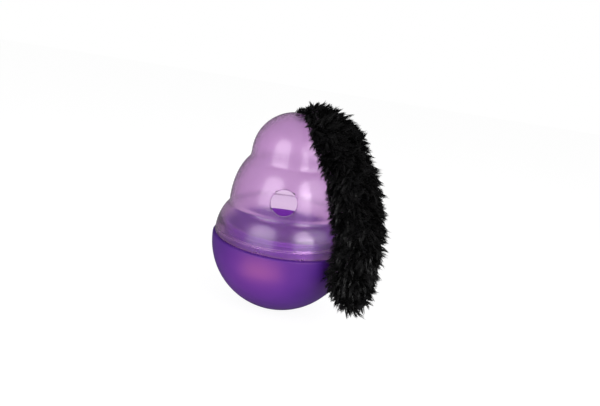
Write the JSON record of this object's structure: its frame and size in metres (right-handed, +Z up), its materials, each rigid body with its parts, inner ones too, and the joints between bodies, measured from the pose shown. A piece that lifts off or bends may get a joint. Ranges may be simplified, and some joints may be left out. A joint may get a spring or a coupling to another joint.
{
  "type": "treat dispensing cat toy",
  "caption": "Wobbling treat dispenser: weighted round base with a treat cup, a see-through three-bulb dome that screws on, and a furry tail on a swivel.",
  "frame": {"origin": "centre of the flat foot under the round base, on the surface that it stands on", "axes": "+Z up along the body's axis; -Y out through the treat hole; +X to the right of the treat hole, where the tail hangs, at 36 degrees towards -Y"},
  "size_m": [0.0986, 0.0874, 0.1253],
  "materials": {
    "purple_plastic": "satin",
    "lilac_clear_plastic": "gloss",
    "iron": "matte",
    "steel": "satin",
    "black_webbing": "matte",
    "black_fur": "matte",
    "white_fibre": "matte"
  },
  "bodies": {
    "base": {"base_bowl": "purple_plastic", "ballast": "iron", "ballast_screw": "steel", "treat_cup": "purple_plastic"},
    "washer": {"retaining_washer": "steel"},
    "dome": {"dome": "lilac_clear_plastic"},
    "swivel": {"swivel_pin": "lilac_clear_plastic", "tail_tab": "black_webbing"},
    "tail_upper": {"tail_sleeve_upper": "black_fur", "tail_stuffing_upper": "white_fibre"},
    "tail_middle": {"tail_sleeve_middle": "black_fur", "tail_stuffing_middle": "white_fibre"},
    "tail_lower": {"tail_sleeve_lower": "black_fur", "tail_stuffing_lower": "white_fibre"}
  },
  "joints": [
    {"name": "dome_lift", "type": "slide", "parent": "base", "child": "washer", "axis": [0, 0, 1], "range_m": [0, 0.0101]},
    {"name": "dome_turn", "type": "hinge", "parent": "washer", "child": "dome", "pos_m": [0, 0, 0.0446], "axis": [0, 0, 1], "range_deg": [0, 450]},
    {"name": "tail_swivel", "type": "hinge", "parent": "washer", "child": "swivel", "pos_m": [0, 0, 0.1204], "axis": [0, 0, 1], "continuous": true},
    {"name": "tail_lift", "type": "hinge", "parent": "swivel", "child": "tail_upper", "pos_m": [0.00724, -0.00526, 0.12274], "axis": [-0.5878, -0.809, 0], "range_deg": [0, 100]},
    {"name": "tail_bend_upper", "type": "hinge", "parent": "tail_upper", "child": "tail_middle", "pos_m": [0.0365, -0.02652, 0.08722], "axis": [-0.5878, -0.809, 0], "range_deg": [0, 35]},
    {"name": "tail_bend_lower", "type": "hinge", "parent": "tail_middle", "child": "tail_lower", "pos_m": [0.04425, -0.03215, 0.04989], "axis": [-0.5878, -0.809, 0], "range_deg": [0, 35]}
  ],
  "couplings": [
    {"joint": "dome_lift", "follows": "dome_turn", "m_per_rad": 0.0012732}
  ]
}
